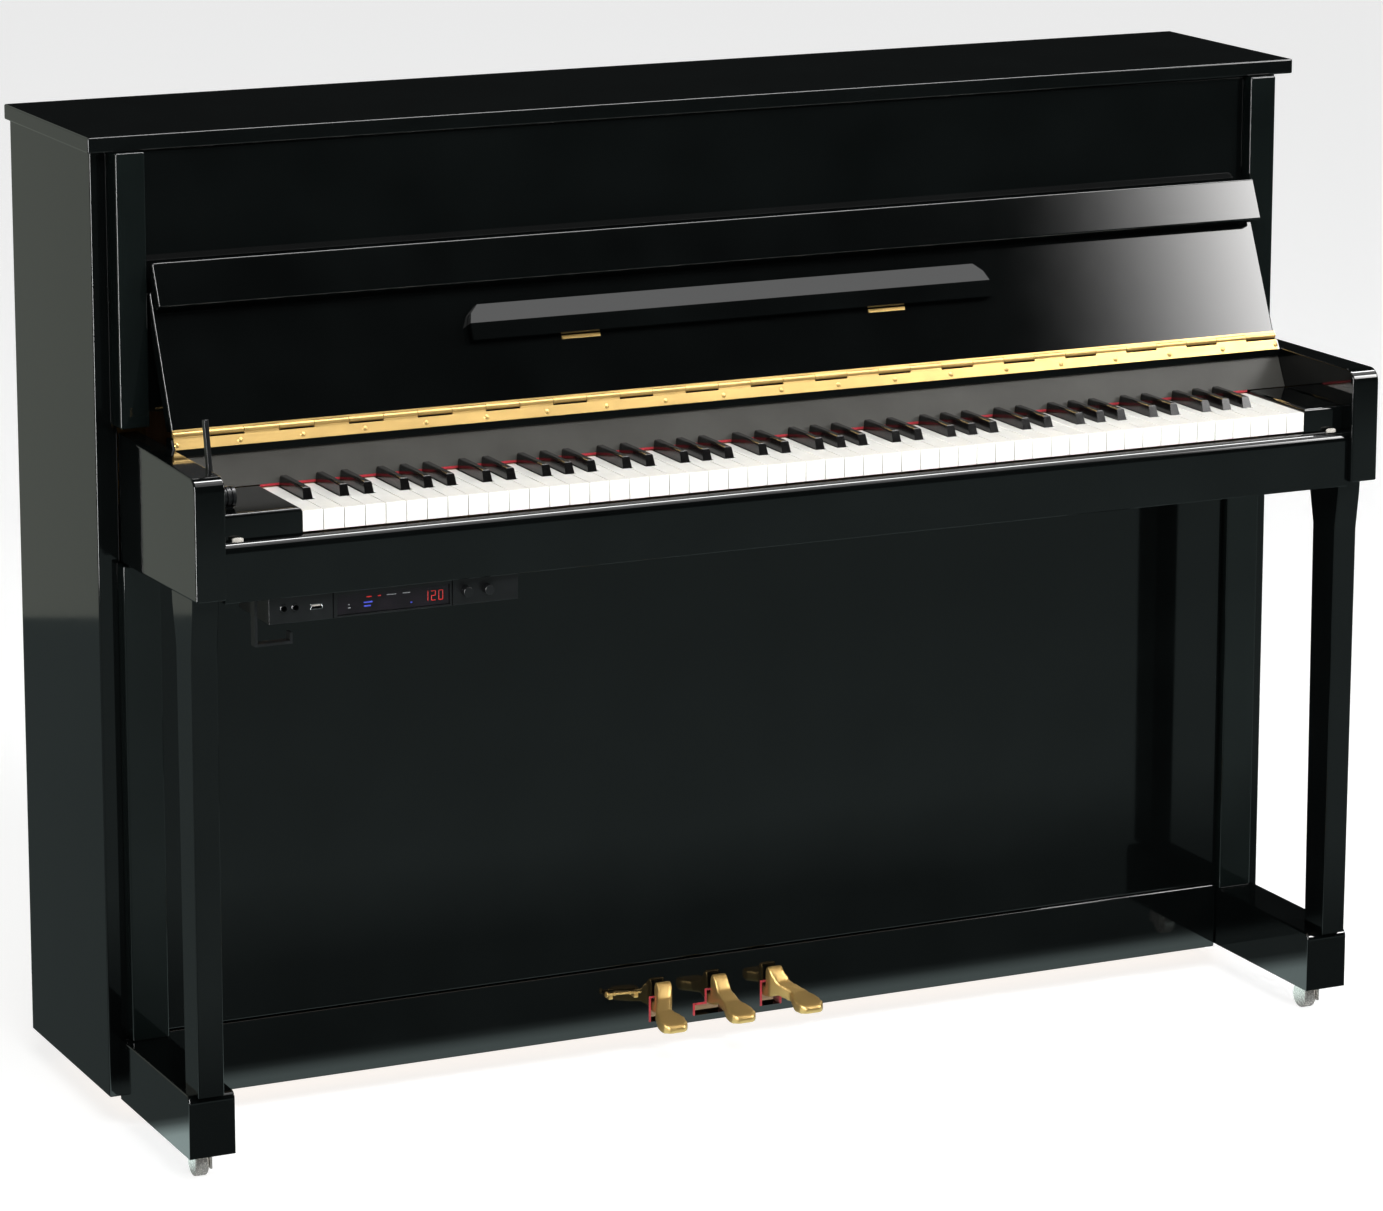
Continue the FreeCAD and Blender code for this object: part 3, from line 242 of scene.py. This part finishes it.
def glow(name, colour, strength):
    """A lit mark on the display's window, a little uneven like a real segment; on the printed marks the
    glow is painted light.
    """
    material, tree, shader, place = new_material(name)
    cloud = noise(tree, place, 700.0, 2.0)
    dim = tuple(channel * 0.7 for channel in colour)
    tone = ramp(tree, cloud, [(0.3, dim), (0.7, colour)])
    tree.links.new(tone, shader.inputs["Base Color"])
    tree.links.new(tone, shader.inputs["Emission Color"])
    shader.inputs["Emission Strength"].default_value = strength
    shader.inputs["Roughness"].default_value = 0.4
    return material


MATERIALS = {
    "black_polyester": polyester("black_polyester", (0.0014, 0.0018, 0.0018)),
    # painted reflection: a lighter copy of the black lacquer that stands in for the grey the pilaster
    # faces reflect
    "pilaster_polyester_painted_reflection": polyester("pilaster_polyester_painted_reflection", (0.0028, 0.0042, 0.0040)),
    "nameboard_lacquer_painted_reflection": nameboard_finish_and_painted_reflection(),
    "plain_wood": timber("plain_wood", (0.36, 0.22, 0.11), (0.58, 0.40, 0.23), 26.0, "x"),
    "spruce": timber("spruce", (0.56, 0.38, 0.19), (0.74, 0.56, 0.33), 60.0, "z"),
    "cast_iron": cast_gold(),
    "steel": metal("steel", (0.74, 0.75, 0.77), 0.16),
    "brass": metal("brass", (0.60, 0.40, 0.14), 0.34, (0.05, 1, 1), metallic=0.7),
    "white_key_top": key_material("white_key_top", (0.86, 0.85, 0.81), 0.2, (0.66, 0.48, 0.28)),
    "black_key_top": key_material("black_key_top", (0.0025, 0.0024, 0.0024), 0.16, (0.60, 0.43, 0.25)),
    "red_felt": felt("red_felt", (0.24, 0.006, 0.012), (0.46, 0.02, 0.035)),
    "hammer_felt": felt("hammer_felt", (0.62, 0.58, 0.48), (0.80, 0.76, 0.66)),
    "black_plastic": satin_black("black_plastic", (0.006, 0.0065, 0.007), 0.3),
    "display_plastic": satin_black("display_plastic", (0.006, 0.004, 0.006), 0.12),
    "caster_wheel": metal("caster_wheel", (0.74, 0.72, 0.68), 0.25, metallic=0.6),
    "pale_rubber": satin_black("pale_rubber", (0.42, 0.40, 0.36), 0.6),
    "red_glow": glow("red_glow", (0.60, 0.015, 0.012), 0.14),
    "blue_glow": glow("blue_glow", (0.05, 0.07, 0.50), 0.25),
    # printed marks with a faint painted glow: print that gives off light though it is no lamp
    "print_painted_glow": glow("print_painted_glow", (0.22, 0.23, 0.24), 0.05),
}

# nodes whose finish differs a little from others of the same slot; the pilasters' lighter lacquer is a
# painted reflection, and so is the nameboard slope's grey
SPECIAL = {"pilasters": "pilaster_polyester_painted_reflection", "nameboard": "nameboard_lacquer_painted_reflection"}
for corner in ("front_left", "front_right", "rear_left", "rear_right"):
    SPECIAL[corner + "_caster_fork"] = "caster_wheel"

for part in frame["record"]["subparts"]:
    piece = nodes[part["node"]]
    piece.data.materials.clear()
    piece.data.materials.append(MATERIALS[SPECIAL.get(part["node"], part["material_slot"])])


def soften_pedals():
    """Melt the pedals' sharp corners, as a sand casting that is polished afterwards."""
    for side in ("left", "middle", "right"):
        pedal = nodes[side + "_pedal"]
        cast = pedal.modifiers.new("cast", "REMESH")
        cast.mode = "VOXEL"
        cast.voxel_size = 0.0016
        cast.use_smooth_shade = True
        polish = pedal.modifiers.new("polish", "SMOOTH")
        polish.factor = 0.5
        polish.iterations = 10


soften_pedals()


# ------------------------------------------------------------------ mesh helpers
def finish_mesh(name, mesh_data, material, body, smooth_angle=35):
    """Turn a bmesh into a piece that rides on a body."""
    mesh = bpy.data.meshes.new(name)
    bmesh.ops.recalc_face_normals(mesh_data, faces=mesh_data.faces)
    mesh_data.to_mesh(mesh)
    mesh_data.free()
    piece = bpy.data.objects.new(name, mesh)
    bpy.context.scene.collection.objects.link(piece)
    mesh.materials.append(MATERIALS[material])
    for polygon in mesh.polygons:
        polygon.use_smooth = True
    mesh.set_sharp_from_angle(angle=math.radians(smooth_angle))
    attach(piece, body)


def add_box(mesh_data, low, high, bevel=0.0, segments=3):
    """Add a box with bevelled edges to a bmesh."""
    made = bmesh.ops.create_cube(mesh_data, size=1.0)
    centre = [(a + b) / 2 for a, b in zip(low, high)]
    size = [b - a for a, b in zip(low, high)]
    bmesh.ops.scale(mesh_data, vec=size, verts=made["verts"])
    bmesh.ops.translate(mesh_data, vec=centre, verts=made["verts"])
    if bevel:
        edges = list({edge for vert in made["verts"] for edge in vert.link_edges})
        bmesh.ops.bevel(mesh_data, geom=edges, offset=bevel, segments=segments, profile=0.5,
                        affect="EDGES")


def add_rings(mesh_data, profile, place, steps):
    """Add a turned skin without ends: profile is (distance along the axis, radius)."""
    rings = []
    for along, radius in profile:
        ring = []
        for step in range(steps):
            angle = step * math.tau / steps
            point = Vector((radius * math.cos(angle), radius * math.sin(angle), along))
            ring.append(mesh_data.verts.new(place @ point))
        rings.append(ring)
    for lower, upper in zip(rings, rings[1:]):
        for step in range(steps):
            after = (step + 1) % steps
            mesh_data.faces.new((lower[step], lower[after], upper[after], upper[step]))
    return rings


def add_lathe(mesh_data, profile, centre, axis, steps=32):
    """Add a turned solid: profile is (distance along the axis, radius), from end to end."""
    turn = Vector((0, 0, 1)).rotation_difference(Vector(axis)).to_matrix().to_4x4()
    rings = add_rings(mesh_data, profile, Matrix.Translation(Vector(centre)) @ turn, steps)
    mesh_data.faces.new(rings[0][::-1])
    mesh_data.faces.new(rings[-1])


# ------------------------------------------------------------------ small pieces
slip_low, slip_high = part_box("key_slip")
rail_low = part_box("bottom_rail")[0]
unit_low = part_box("control_unit")[0]
window_low, window_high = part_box("control_display")


def make_buffers():
    """Two low oval pads on the key slip that the closed fallboard's flap rests against."""
    inset, setback, sunk = 0.018, 0.0035, 0.0004
    oval = (1.3, 0.62, 1.0)
    profile = [(0.0, 0.0050), (0.0022, 0.0050), (0.0034, 0.0044), (0.0040, 0.0030), (0.0042, 0.0010)]
    for side, x in (("bass", slip_low.x + inset), ("treble", slip_high.x - inset)):
        pad = bmesh.new()
        add_lathe(pad, profile, (0, 0, 0), (0, 0, 1))
        bmesh.ops.scale(pad, vec=oval, verts=pad.verts)
        bmesh.ops.translate(pad, vec=(x, slip_high.y - setback, slip_high.z - sunk), verts=pad.verts)
        finish_mesh(side + "_slip_buffer", pad, "pale_rubber", "case")


def make_slot_linings():
    """Felt round each pedal slot; the middle slot's runs on round the lock recess."""
    proud, depth = 0.0005, 0.017
    front, back = rail_low.y - proud, rail_low.y + depth
    thick, rounding = 0.0028, 0.0006
    slot_pitch, slot_half = 0.071, 0.014
    low, high = 0.039, 0.070
    lock_left, lock_high = -0.029, 0.054
    for index, side in ((-1, "left"), (0, "middle"), (1, "right")):
        centre = index * slot_pitch
        left, right = centre - slot_half, centre + slot_half
        side_low = lock_high if index == 0 else low
        strips = [
            ((left, side_low), (left + thick, high)),
            ((right - thick, low), (right, high)),
            ((left + thick, high - thick), (right - thick, high)),
        ]
        if index == 0:
            strips += [
                ((lock_left, low), (lock_left + thick, lock_high)),
                ((lock_left + thick, lock_high - thick), (left + thick, lock_high)),
            ]
        lining = bmesh.new()
        for (x_low, z_low), (x_high, z_high) in strips:
            add_box(lining, (x_low, front, z_low), (x_high, back, z_high), rounding, 2)
        finish_mesh(side + "_slot_felt", lining, "red_felt", "case")


def make_lock_rod():
    """The small flanged brass bolt beside the left pedal, with the two lugs that hold it."""
    rod = bmesh.new()
    start, y, z = -0.143, rail_low.y - 0.0075, 0.082
    slope = -0.06
    lug_half, lug_front, lug_low, lug_high = 0.0025, 0.001, 0.006, 0.0005
    into_rail, rounding = 0.0004, 0.0006
    profile = [
        (0.0, 0.0010), (0.0005, 0.0034), (0.0020, 0.0034), (0.0025, 0.0014), (0.0100, 0.0014),
        (0.0104, 0.0022), (0.0120, 0.0022), (0.0124, 0.0012), (0.0300, 0.0012), (0.0304, 0.0020),
        (0.0320, 0.0020), (0.0324, 0.0010), (0.0440, 0.0010), (0.0444, 0.0005),
    ]
    add_lathe(rod, profile, (start, y, z), (1, 0, slope), 24)
    for along in (0.0065, 0.0385):
        x, drop = start + along, along * slope
        add_box(rod, (x - lug_half, y - lug_front, z - lug_low + drop),
                (x + lug_half, rail_low.y + into_rail, z - lug_high + drop), rounding, 2)
    finish_mesh("pedal_lock_rod", rod, "brass", "case")


SEGMENTS = {
    # top, upper right, lower right, bottom, lower left, upper left, middle
    "1": (0, 1, 1, 0, 0, 0, 0), "2": (1, 1, 0, 1, 1, 0, 1), "0": (1, 1, 1, 1, 1, 1, 0),
}


def make_display_marks():
    """A three-figure number in red segments, with small indicator marks beside it."""
    proud, depth = 0.0004, 0.0006
    front = window_low.y - proud
    back = front + depth
    width, height, stroke = 0.0056, 0.0112, 0.0011
    first_place, place_pitch = 0.0290, 0.0085
    trim, rounding = 0.0002, 0.0001
    middle = (window_low.z + window_high.z) / 2
    low, half = middle - height / 2, height / 2
    digits = bmesh.new()
    for place, figure in enumerate("120"):
        left = window_high.x - first_place + place * place_pitch
        bars = [
            (left, low + height - stroke, width, stroke),
            (left + width - stroke, low + half, stroke, half),
            (left + width - stroke, low, stroke, half), (left, low, width, stroke),
            (left, low, stroke, half), (left, low + half, stroke, half),
            (left, low + half - stroke / 2, width, stroke),
        ]
        for lit, (x, z, wide, tall) in zip(SEGMENTS[figure], bars):
            if lit:
                add_box(digits, (x + trim, front, z + trim),
                        (x + wide - trim, back, z + tall - trim), rounding, 1)
    finish_mesh("display_figures", digits, "red_glow", "case")

    def dots(name, material, marks, size):
        """Marks are (distance along, height, width) from the window's low corner."""
        lamps = bmesh.new()
        for along, up, wide in marks:
            x, z = window_low.x + along, window_low.z + up
            add_box(lamps, (x, front, z), (x + wide, back, z + size), size * 0.3, 2)
        finish_mesh(name, lamps, material, "case")

    dots("display_red_lamps", "red_glow", [(0.033, 0.0160, 0.006), (0.046, 0.0160, 0.0035)], 0.0012)
    dots("display_blue_lamps", "blue_glow",
         [(0.030, 0.0100, 0.010), (0.030, 0.0060, 0.008), (0.083, 0.0048, 0.0022)], 0.0016)
    # white printed marks, shown with a faint painted glow
    dots("display_white_marks", "print_painted_glow",
         [(0.056, 0.0160, 0.011), (0.074, 0.0160, 0.009), (0.012, 0.0060, 0.003),
          (0.012, 0.0095, 0.002)], 0.0012)


def make_sockets():
    """The rings of the two headphone jacks and the metal shell of the data socket."""
    front = unit_low.y
    ring_height, ring_sunk, shell_proud = 0.016, 0.0004, 0.0004
    profile = [(0.0, 0.0030), (0.0, 0.0050), (0.0012, 0.0048), (0.0018, 0.0042), (0.0018, 0.0031),
               (-0.010, 0.0029)]
    facing = Matrix.Rotation(math.radians(90), 4, "X")
    for name, along in (("first", 0.017), ("second", 0.030)):
        ring = bmesh.new()
        centre = (unit_low.x + along, front + ring_sunk, unit_low.z + ring_height)
        add_rings(ring, profile, Matrix.Translation(centre) @ facing, 36)
        finish_mesh(name + "_jack_ring", ring, "black_plastic", "case")
    left, low = unit_low.x + 0.047, unit_low.z + 0.012
    wide, tall, wall = 0.013, 0.006, 0.0005
    back = front + 0.012
    shell = bmesh.new()
    for start, end in (
        ((0, 0), (wide, wall)), ((0, tall - wall), (wide, tall)),
        ((0, wall), (wall, tall - wall)), ((wide - wall, wall), (wide, tall - wall)),
    ):
        add_box(shell, (left + start[0], front - shell_proud, low + start[1]),
                (left + end[0], back, low + end[1]), 0.0001, 1)
    finish_mesh("data_socket_shell", shell, "steel", "case")
    clear, tongue_low, tongue_high, tongue_setback = 0.0015, 0.0032, 0.0050, 0.001
    tongue = bmesh.new()
    add_box(tongue, (left + clear, front + tongue_setback, low + tongue_low),
            (left + wide - clear, back, low + tongue_high), 0.0002, 1)
    finish_mesh("data_socket_tongue", tongue, "pale_rubber", "case")


make_buffers()
make_slot_linings()
make_lock_rod()
make_display_marks()
make_sockets()


# ------------------------------------------------------------------ studio
def stage_plane(name, corners, material, camera=False):
    """A four-cornered card that lights the object or shows in its gloss."""
    mesh = bpy.data.meshes.new(name)
    mesh.from_pydata(corners, [], [(0, 1, 2, 3)])
    card = bpy.data.objects.new(name, mesh)
    bpy.context.scene.collection.objects.link(card)
    mesh.materials.append(material)
    card.visible_camera = camera


def emission(name, colour, strength):
    """A plain glowing material: returns it with its node tree and its emission node."""
    material = bpy.data.materials.new(name)
    material.use_nodes = True
    tree = material.node_tree
    tree.nodes.clear()
    light = tree.nodes.new("ShaderNodeEmission")
    light.inputs["Color"].default_value = (*colour, 1)
    light.inputs["Strength"].default_value = strength
    output = tree.nodes.new("ShaderNodeOutputMaterial")
    tree.links.new(light.outputs[0], output.inputs[0])
    return material, tree, light


def make_floor():
    """A plain pale floor. The gloss of the piano sees it dim, with lighter and darker zones."""
    material = bpy.data.materials.new("floor")
    material.use_nodes = True
    tree = material.node_tree
    tree.nodes.clear()
    output = tree.nodes.new("ShaderNodeOutputMaterial")
    paper = tree.nodes.new("ShaderNodeBsdfDiffuse")
    paper.inputs["Color"].default_value = (0.42, 0.42, 0.42, 1)
    lit = tree.nodes.new("ShaderNodeEmission")
    lit.inputs["Strength"].default_value = 0.80
    seen = tree.nodes.new("ShaderNodeAddShader")
    tree.links.new(paper.outputs[0], seen.inputs[0])
    tree.links.new(lit.outputs[0], seen.inputs[1])
    # zones along y: dark far in front, mid grey in front, dark at the toes, bright below, grey behind
    place = tree.nodes.new("ShaderNodeTexCoord").outputs["Object"]
    split = tree.nodes.new("ShaderNodeSeparateXYZ")
    tree.links.new(place, split.inputs[0])
    near, far = -4.5, 0.5
    along = span(tree, split.outputs["Y"], 0.0, 1.0, near, far)
    zones = [(-3.6, 0.05), (-3.1, 0.24), (-0.85, 0.26), (-0.50, 0.10), (-0.17, 0.08), (-0.13, 1.4),
             (-0.05, 1.4), (0.0, 0.12)]
    level = ramp(tree, along, [((y - near) / (far - near), (grey, grey, grey)) for y, grey in zones])
    tint = tree.nodes.new("ShaderNodeMix")
    tint.data_type = "RGBA"
    tint.blend_type = "MULTIPLY"
    tint.inputs[0].default_value = 1.0
    tree.links.new(level, tint.inputs[6])
    tint.inputs[7].default_value = (0.80, 1.0, 0.98, 1)
    dim = tree.nodes.new("ShaderNodeEmission")
    tree.links.new(tint.outputs[2], dim.inputs["Color"])
    path = tree.nodes.new("ShaderNodeLightPath")
    either = tree.nodes.new("ShaderNodeMixShader")
    tree.links.new(path.outputs["Is Glossy Ray"], either.inputs[0])
    tree.links.new(seen.outputs[0], either.inputs[1])
    tree.links.new(dim.outputs[0], either.inputs[2])
    tree.links.new(either.outputs[0], output.inputs[0])
    reach = 60.0
    corners = [(-reach, -reach, 0), (reach, -reach, 0), (reach, reach, 0), (-reach, reach, 0)]
    stage_plane("floor", corners, material, camera=True)


def make_world():
    """White all round to the camera, and a dark room to everything else."""
    world = bpy.data.worlds.new("studio")
    bpy.context.scene.world = world
    world.use_nodes = True
    tree = world.node_tree
    tree.nodes.clear()
    output = tree.nodes.new("ShaderNodeOutputWorld")
    path = tree.nodes.new("ShaderNodeLightPath")
    white = tree.nodes.new("ShaderNodeBackground")
    white.inputs["Color"].default_value = (1, 1, 1, 1)
    white.inputs["Strength"].default_value = 1.0
    dark = tree.nodes.new("ShaderNodeBackground")
    dark.inputs["Color"].default_value = (0.9, 1.0, 1.0, 1)
    dark.inputs["Strength"].default_value = 0.012
    either = tree.nodes.new("ShaderNodeMixShader")
    tree.links.new(path.outputs["Is Camera Ray"], either.inputs[0])
    tree.links.new(dark.outputs[0], either.inputs[1])
    tree.links.new(white.outputs[0], either.inputs[2])
    tree.links.new(either.outputs[0], output.inputs[0])


def area_light(name, place, target, size, radiance, glossy=True, diffuse=True):
    """A soft rectangular light; radiance is how bright it looks in a mirror."""
    light = bpy.data.lights.new(name, "AREA")
    light.shape = "RECTANGLE"
    light.size, light.size_y = size
    light.energy = radiance * math.pi * size[0] * size[1]
    lamp = bpy.data.objects.new(name, light)
    bpy.context.scene.collection.objects.link(lamp)
    lamp.location = place
    lamp.rotation_euler = (Vector(target) - Vector(place)).to_track_quat("-Z", "Y").to_euler()
    lamp.visible_camera = False
    lamp.visible_glossy = glossy
    lamp.visible_diffuse = diffuse


def make_lights():
    # the grey wall that the piano's left faces show
    wall = emission("left_wall", (0.92, 1.0, 0.88), 0.34)[0]
    stage_plane("left_wall", [(-5.0, 0.6, 0), (-0.2, 2.9, 0), (-0.2, 2.9, 3.2), (-5.0, 0.6, 3.2)], wall)
    # a softbox to the right, graded along x, in the fallboard's gloss
    dark_end, bright_end = 1.86, 2.45
    steepness, brightest, darkest = 2.5, 28.0, 0.02
    box, tree, light = emission("right_softbox", (1.0, 0.99, 0.98), 1.0)
    place = tree.nodes.new("ShaderNodeTexCoord").outputs["Object"]
    split = tree.nodes.new("ShaderNodeSeparateXYZ")
    tree.links.new(place, split.inputs[0])
    rise = tree.nodes.new("ShaderNodeMapRange")
    rise.inputs["From Min"].default_value = dark_end
    rise.inputs["From Max"].default_value = bright_end
    tree.links.new(split.outputs["X"], rise.inputs["Value"])
    curve = tree.nodes.new("ShaderNodeMath")
    curve.operation = "POWER"
    curve.inputs[1].default_value = steepness
    tree.links.new(rise.outputs[0], curve.inputs[0])
    level = tree.nodes.new("ShaderNodeMath")
    level.operation = "MULTIPLY_ADD"
    level.inputs[1].default_value = brightest
    level.inputs[2].default_value = darkest
    tree.links.new(curve.outputs[0], level.inputs[0])
    tree.links.new(level.outputs[0], light.inputs["Strength"])
    corners = [(0.2, -2.9, 1.95), (3.1, -2.3, 1.95), (3.1, -1.9, 3.1), (0.2, -2.5, 3.1)]
    stage_plane("right_softbox", corners, box)
    # overhead softbox, in the gloss of everything that is rounded towards the top
    area_light("overhead_back", (1.1, -0.55, 2.9), (1.1, -0.55, 0), (3.2, 1.3), 2.2)
    area_light("overhead_front", (0.9, -1.65, 2.9), (0.9, -1.65, 0), (3.6, 0.9), 1.3)
    # narrow bright strips that draw the level and the upright edges
    area_light("zenith_strip", (1.1, -0.15, 3.0), (1.1, -0.15, 0), (3.6, 0.35), 26, diffuse=False)
    area_light("edge_strip", (-2.6, -1.3, 1.2), (0, -0.4, 0.6), (0.35, 2.4), 45, diffuse=False)
    # plain soft light on the keys, the brass and the floor
    area_light("fill", (-0.6, -3.0, 3.4), (0, 0, 0.6), (3.5, 2.0), 9.5, glossy=False)


def make_camera():
    """In front, to the left and above the lid, looking down, with the frame shifted a little."""
    camera = bpy.data.cameras.new("camera")
    camera.sensor_width = 36
    camera.lens = 137.7
    camera.shift_x = 0.0133
    camera.shift_y = -0.1358
    camera.clip_end = 200
    piece = bpy.data.objects.new("camera", camera)
    bpy.context.scene.collection.objects.link(piece)
    piece.location = (-2.525, -5.296, 1.934)
    look_down, turn_right = 11.52, 25.07
    piece.rotation_euler = (math.radians(90 - look_down), 0, math.radians(-turn_right))
    bpy.context.scene.camera = piece


make_floor()
make_world()
make_lights()
make_camera()
bpy.context.scene.view_settings.view_transform = "Standard"
